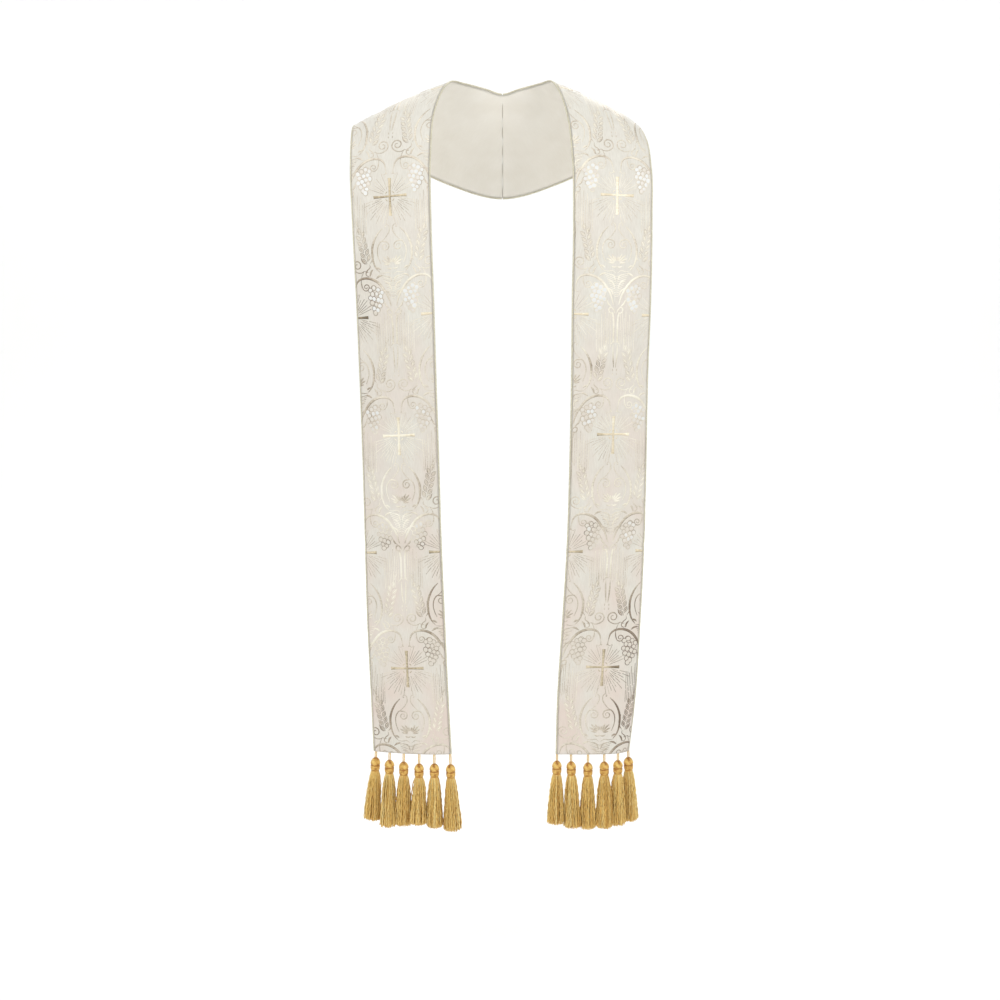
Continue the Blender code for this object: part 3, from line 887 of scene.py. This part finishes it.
def add_grape(outlines, fills, half, u, v, level, random):
    """A low round cushion of floats, with a size and a whiteness of its own, inside a soft outline; its tone
    paints a highlight in the middle and shade at the rim.
    """
    turn = full_turn(13)
    gleam = gleam_tone(half, u, v)
    # The whiteness grows up the band and carries the painted reflection of the gleams.
    white = np.clip((u - GRAPES_DULL) / (GRAPES_WHITE - GRAPES_DULL), 0, 1) + 0.5 * (gleam - 0.5)
    white += random.normal(-0.22, 0.34)
    size = GRAPE_RADIUS * MM * random.uniform(0.84, 1.06)
    long = random.uniform(0.92, 1.1)

    def rounds(parts, rings, tone):
        radius, height = np.array(rings).T[..., None]
        pu, pv = clip_to_cloth(half, u + size * radius * long * np.sin(turn),
                               v + size * radius * np.cos(turn) / long)
        parts.add_grid(half.at(pu, pv, (height + level) * MM), together(pv, pu), tone, closed=True,
                       flip=half.hand < 0)

    # Painted highlight in the middle of the cushion, painted shade towards its rim.
    painted_rim_shade = np.array([[0.0], [0.06], [0.2], [0.45]])
    rounds(fills, ((0.02, 0.3), (0.4, 0.27), (0.68, 0.2), (0.9, 0.08)), white - painted_rim_shade)
    # Painted shade: the outline darker on one side.
    outline = np.maximum(gleam + RING_TONE * (1 + 0.7 * np.sin(turn - 0.6)), 0)
    rounds(outlines, ((0.8, 0.12), (0.9, 0.2), (1.0, 0.16), (1.08, -0.1 - level)), outline)


def skewed(half, u, v):
    """The pattern climbs across the band, less so towards the hem."""
    return u + half.lay.skew * (0.4 + 0.6 * np.clip(u / 0.9, 0, 1)) * v


def make_pattern(name, half, gold, warm_gold, white):
    lines, cross_lines = pattern_lines()
    ribbons, crosses, cushions = MeshParts(), MeshParts(), MeshParts()
    random = np.random.default_rng(31 if half.hand > 0 else 47)
    grapes = [(side * across, up) for side in (-1, 1) for across, up in GRAPES]
    top = half.length.max()
    for column in (-1, 0, 1):
        for repeat in REPEATS:
            middle_u = (FIRST_CROSS + HALF_DROP * abs(column) + REPEAT * repeat) * MM + half.lay.along
            middle_v = column * COLUMN * MM + half.lay.aside
            for parts, strokes in ((ribbons, lines), (crosses, cross_lines)):
                for line, widths, tone in strokes:
                    v = middle_v + line[:, 0] * MM
                    u = skewed(half, middle_u + line[:, 1] * MM, v)
                    if np.abs(v).min() < HALF_WIDTH and u.max() > 0 and u.min() < top:
                        add_ribbon(parts, half, u, v, widths * MM, tone)
            for number, (across, up) in enumerate(grapes):
                v = middle_v + (across + random.normal(0, 0.25)) * MM
                u = skewed(half, middle_u + (up + random.normal(0, 0.25)) * MM, v)
                if abs(v) < HALF_WIDTH - 1 * MM and 1 * MM < u < half.length_at(v) - 1 * MM:
                    add_grape(ribbons, cushions, half, u, v, GRAPE_STACK * (number % len(GRAPES)), random)
    return [hold(ribbons.make(name + "_gold", gold), "woven_gold"),
            hold(crosses.make(name + "_crosses", warm_gold), "woven_gold"),
            hold(cushions.make(name + "_grapes", white), "brocade")]


# ================ cords and tassels
END_SIZE = 0.6  # of a cord's last ring, as a share of its radius


def lobed_tube(parts, centres, first, second, radius, plies, pitch, depth, tone=0.5, start_turn=0.0):
    """A twisted cord: a lobe for each ply, turning once in each pitch. first and second span its section."""
    run = distance_along(centres)[:, None]
    base = full_turn(CORD_SIDES)
    angle = base + start_turn + 2 * pi * run / pitch
    reach = radius * (1 - depth * (1 - np.abs(np.cos(plies * base / 2)))) * np.ones_like(run)
    reach[[0, -1]] *= END_SIZE
    points = (centres[:, None, :] + first[:, None, :] * (reach * np.cos(angle))[..., None]
              + second[:, None, :] * (reach * np.sin(angle))[..., None])
    uvs = together(base * radius, run)
    parts.add_grid(points, uvs, tone, closed=True)
    for end, flip in ((0, False), (-1, True)):
        close_end(parts, points[end], centres[end], uvs[end], tone, flip)


def close_end(parts, ring, centre, uvs, tone, flip):
    """A bevel inside the ring, and then quads from side to side."""
    inner = centre + (ring - centre) * 0.3
    parts.add_grid(np.stack([inner, ring]), np.stack([uvs, uvs]), tone, closed=True, flip=flip)
    quads = np.array([(k, k + 1, -k - 2, -k - 1) for k in range(len(ring) // 2 - 1)]) % len(ring)
    parts.add(inner, quads if flip else quads[:, ::-1], uvs, tone)


def make_cord(name, half, edge, material, node):
    """The edge cord of column 0 (inner) or -1 (outer) of the cloth."""
    away = half.outward[:, edge] * (1 if edge else -1)
    rows = np.concatenate([half.points[:, edge], away, half.normals[:, edge]], axis=1)
    run = distance_along(rows[:, :3])
    marks = np.linspace(0, run[-1], int(run[-1] / CORD_STEP) + 1)
    rows = together(*(np.interp(marks, run, column) for column in rows.T))
    away = unit(rows[:, 3:6])
    centres = rows[:, :3] + away * (EDGE_CORD / 2 + GAP)
    centres[:, 0] = np.maximum(centres[:, 0] * half.hand, EDGE_CORD / 4 + GAP) * half.hand
    parts = MeshParts()
    lobed_tube(parts, centres, away, unit(rows[:, 6:]), EDGE_CORD / 2 * 1.02, 3, 7.5 * MM, 0.17)
    return hold(parts.make(name, material), "edge_cord", node)


# A turban's dome over a drum, from the cords' hole down to the neck, as shares of the head's
# radius and height.
HEAD_PROFILE = ((0.18, 0.01), (0.36, -0.01), (0.6, -0.08), (0.82, -0.17), (0.95, -0.28), (1.00, -0.4),
                (0.95, -0.5), (0.97, -0.57), (0.96, -0.7), (0.93, -0.82), (0.86, -0.88), (0.79, -0.92),
                (0.84, -0.96), (0.8, -1.0), (0.5 * NECK_RADIUS / HEAD_RADIUS, -1.02))
WAIST = 0.5  # how far down the head its groove lies
WRAP = 0.68  # its slanting wrap
NECK_GROOVE = 0.905  # the groove over the neck
NECK_BINDING = 0.96  # and the neck's binding


def add_head(parts, top, random):
    """Wound with slanting threads in bundles, with a wrap round its drum and a bound neck. Its tone paints
    highlights on the dome, the thread crests, the wrap and the binding, and shade in the grooves, the notch
    and the cords' hole.
    """
    outline = smooth_line(np.array(HEAD_PROFILE) * (HEAD_RADIUS, HEAD_HEIGHT), 0.5 * MM)
    turn = full_turn(80) + random.uniform(0, 2 * pi)
    radius, height = outline[:, :1], outline[:, 1:]
    depth = -height / HEAD_HEIGHT

    def band(place, spread):
        return np.exp(-((depth - place) / spread) ** 2)

    slant = turn - np.where(depth < WAIST, 2.6 * depth, 1.3 - 2.2 * (depth - WAIST))
    threads = np.abs(np.sin(16 * slant))
    bundles = 0.5 + 0.5 * np.sin(4 * slant + random.uniform(0, 6))
    groove = band(WAIST - 0.04 * np.sin(turn + 0.6), 0.035)
    wrap = band(WRAP - 0.07 * np.sin(turn + random.uniform(0, 6)), 0.04)
    neck = band(NECK_BINDING, 0.04)
    notch = np.clip(np.cos(turn + pi / 2 + random.normal(0, 0.3)), 0, 1) ** 7 * band(0.13, 0.12)
    wound = np.clip(1 - groove - neck - wrap, 0, 1)
    rise = 0.34 * threads * (0.4 + 0.6 * bundles) * wound + 0.18 * wrap - 0.3 * groove - 1.0 * notch
    reach = radius + MM * (rise + 0.15 * neck * np.abs(np.sin(depth * 70)))
    points = together(reach * np.cos(turn), reach * np.sin(turn), height + top)
    # Painted highlights and shade, over the bundles' own tone.
    tone = (0.36 * bundles * wound + 0.3 * band(0.24, 0.14) + 0.12 * threads + 0.3 * wrap + 0.38 * neck
            - 0.24 * groove - 0.3 * band(NECK_GROOVE, 0.02) - 0.4 * band(0, 0.04) - 0.45 * notch - 0.14)
    parts.add_grid(points, together(radius * turn, height), tone, closed=True, flip=True)


STRANDS = 160
STRAND_RADIUS = 0.64 * MM
STRAND_SIDES = 4
STRAND_ROWS = 18
STRAND_CRIMP = 0.55 * MM
GOLDEN_ANGLE = 2.399963
SKIRT_TOP = 0.006
SKIRT_FOOT = 0.0148
SKIRT_LAP = 0.0012  # how far the strands run up into the neck
LOOP_RADIUS = 0.92 * MM  # of each of the two cords that a tassel hangs by
LOOP_ROWS = 26


def add_skirt(parts, top, length, random, squeeze):
    """Loose crimped strands, crowded under the head and spreading, a little uneven, to the foot."""
    share = np.linspace(0, 1, STRAND_ROWS)
    section = full_turn(STRAND_SIDES)
    spread = SKIRT_TOP + (SKIRT_FOOT - SKIRT_TOP) * share ** 0.6
    for index in range(STRANDS):
        ring = sqrt((index + 0.5) / STRANDS)
        angle = index * GOLDEN_ANGLE + random.normal(0, 0.05)
        wander = random.normal(0, 0.8 * MM, 2)[:, None] * np.sin(share * pi * random.uniform(0.8, 2.2))
        wave = share * length / random.uniform(0.0017, 0.0026) + random.uniform(0, 6, 2)[:, None]
        loose = wander + STRAND_CRIMP * np.sin(wave) * np.minimum(1, share * 4)
        curl = angle + 0.1 * share * random.normal(0, 1)
        x = spread * ring * np.cos(curl) * (1 - squeeze * share) + loose[0]
        y = spread * ring * np.sin(curl) + loose[1]
        drop = length * (random.uniform(0.965, 1.0) - 0.05 * ring ** 8)
        centres = together(x, y, top - share * drop)
        thick = STRAND_RADIUS * (0.9 + 0.25 * share) * random.uniform(0.85, 1.15)
        thick[-1] *= 0.7
        points = centres[:, None] + thick[:, None, None] * together(np.cos(section), np.sin(section), 0)
        uvs = together(section * STRAND_RADIUS, (share * drop)[:, None])
        # Painted light: strands paler near the top of the skirt, lifting the shade where they crowd under
        # the head.
        tone = np.clip(random.normal(0.5, 0.2), 0, 1) + 0.12 * np.exp(-share / 0.2)[:, None]
        parts.add_grid(points, uvs + random.uniform(0, 1), tone, closed=True, flip=True)
        foot = centres[-1] - (0, 0, 0.5 * MM)
        tip = np.stack([points[-1], foot + (points[-1] - centres[-1]) * 0.25])
        parts.add_grid(tip, np.stack([uvs[-1], uvs[-1]]), 0.3, closed=True, flip=True)


def make_tassel(name, tassel, half, random, material):
    """Built upright under the point of the hem that it hangs from, then tilted and moved there."""
    place = tassel.across * CELLS
    index = min(int(place), CELLS - 1)
    root = Vector(half.points[0, index] * (1 - place + index) + half.points[0, index + 1] * (place - index))
    sway = Matrix.Rotation(-radians(tassel.sway) * half.hand, 4, "Y")
    nod = Matrix.Rotation(-radians(tassel.nod), 4, "X")
    parts = MeshParts()
    head_top = -CLOTH_WALL - tassel.cord - GAP
    heights = np.linspace(0.6 * MM, head_top - 1.2 * MM, LOOP_ROWS)
    first, second = (np.tile(axis, (LOOP_ROWS, 1)) for axis in ((1.0, 0, 0), (0, 1.0, 0)))
    for side in (-1, 1):
        bow = side * (LOOP_RADIUS + 0.25 * MM * np.sin(np.linspace(0, pi, LOOP_ROWS)))
        lobed_tube(parts, together(bow, 0, heights), first, second, LOOP_RADIUS, 2, 4.5 * MM, 0.35, 0.46,
                   random.uniform(0, 3))
    add_head(parts, head_top, random)
    squeeze = 0.05 if 0 < tassel.across < 1 else 0.02
    add_skirt(parts, head_top - HEAD_HEIGHT + SKIRT_LAP, tassel.skirt + SKIRT_LAP, random, squeeze)
    piece = parts.make(name, material)
    piece.data.transform(Matrix.Translation(root) @ sway @ nod)
    return hold(piece, "tassel_gold", name + "_cord", name + "_head", name + "_skirt")


# ================ studio
CAMERA_PLACE = (-0.004, -4.0, 0.0)
CAMERA_DOWN = 9.6  # degrees
CAMERA_LENS = 89.4  # millimetres, on Blender's 36 mm sensor
FLOOR_HEIGHT = -1.46
ROOM_RADIUS = 5.2
ROOM_CURVE = 1.5
ROOM_TOP = 2.4


def make_camera():
    camera = place_in_scene("camera", bpy.data.cameras.new("camera"))
    camera.data.lens = CAMERA_LENS
    camera.location = CAMERA_PLACE
    camera.rotation_euler = (radians(90 - CAMERA_DOWN), 0, 0)
    bpy.context.scene.camera = camera


def make_room(material):
    """A round pale studio floor that sweeps up into a low wall on every side."""
    bend = [(ROOM_RADIUS + ROOM_CURVE * sin(a), FLOOR_HEIGHT + ROOM_CURVE * (1 - cos(a)))
            for a in np.linspace(0, pi / 2, 10)]
    floor = [(radius, FLOOR_HEIGHT) for radius in (0.0, 1.5, 3.5)]
    outline = np.array([*floor, *bend, (ROOM_RADIUS + ROOM_CURVE, ROOM_TOP)])
    turn = full_turn(96)
    points = together(outline[:, :1] * np.cos(turn), outline[:, :1] * np.sin(turn), outline[:, 1:])
    parts = MeshParts()
    parts.add_grid(points, points[..., :2], closed=True, flip=True)
    parts.make("studio_floor", material)


# name, place, the point it faces, size in metres and watts
SOFTBOXES = (
    ("key_left", (-2.4, -3.2, 1.9), (0, 0, -0.3), 2.0, 44),
    ("key_right", (2.5, -3.0, 1.7), (0, 0, -0.3), 1.8, 49),
    ("top", (-0.3, -0.9, 3.1), (0, 0.1, -0.5), 2.0, 22),
    ("back", (0.4, 3.4, 2.2), (0, 0, -0.5), 2.2, 34),
    ("backdrop_glow", (0.0, 3.0, 3.6), (0, 5.0, -1.2), 3.0, 100),
)
WORLD_LIGHT = (0.98, 0.99, 1.0, 1.0)
WORLD_STRENGTH = 0.473


def make_lights():
    for name, place, aim, size, watts in SOFTBOXES:
        lamp = place_in_scene(name, bpy.data.lights.new(name, "AREA"))
        lamp.data.shape = "SQUARE"
        lamp.data.size = size
        lamp.data.energy = watts
        lamp.location = place
        lamp.rotation_euler = (Vector(aim) - Vector(place)).to_track_quat("-Z", "Y").to_euler()
    world = bpy.data.worlds.new("studio_air")
    world.use_nodes = True
    background = world.node_tree.nodes["Background"]
    background.inputs["Color"].default_value = WORLD_LIGHT
    background.inputs["Strength"].default_value = WORLD_STRENGTH
    bpy.context.scene.world = world
    bpy.context.scene.view_settings.view_transform = "Standard"


# ================ all of it
SIDES = (("right", 1, (RIGHT_FRONT, RIGHT_CREASES, RIGHT_GLEAMS, RIGHT_LAY), RIGHT_TASSELS),
         ("left", -1, (LEFT_FRONT, LEFT_CREASES, LEFT_GLEAMS, LEFT_LAY), LEFT_TASSELS))


def make_stole():
    brocade, lining, white = make_brocade(), make_lining(), make_silver_white()
    gold, warm_gold = make_gold("woven_gold", LINE_COLOURS), make_gold("woven_gold_warm", CROSS_COLOURS)
    cord_thread, tassel_thread = make_edge_cord(), make_tassel_thread()
    for side, hand, tables, tassels in SIDES:
        half = Half(hand, *tables)
        cloth = make_cloth(f"stole_{side}", half, brocade, lining)
        hold(cloth, "brocade", f"stole_{side}_half")
        sewn = make_pattern(f"stole_{side}", half, gold, warm_gold, white)
        for edge_name, edge in (("inner", 0), ("outer", -1)):
            node = f"cord_{side}_{edge_name}"
            sewn.append(make_cord("edge_" + node, half, edge, cord_thread, node))
        random = np.random.default_rng(11 if hand > 0 else 23)
        for number, tassel in enumerate(tassels, 1):
            sewn.append(make_tassel(f"tassel_{side}_{number}", tassel, half, random, tassel_thread))


make_stole()
make_room(make_backdrop())
make_lights()
make_camera()
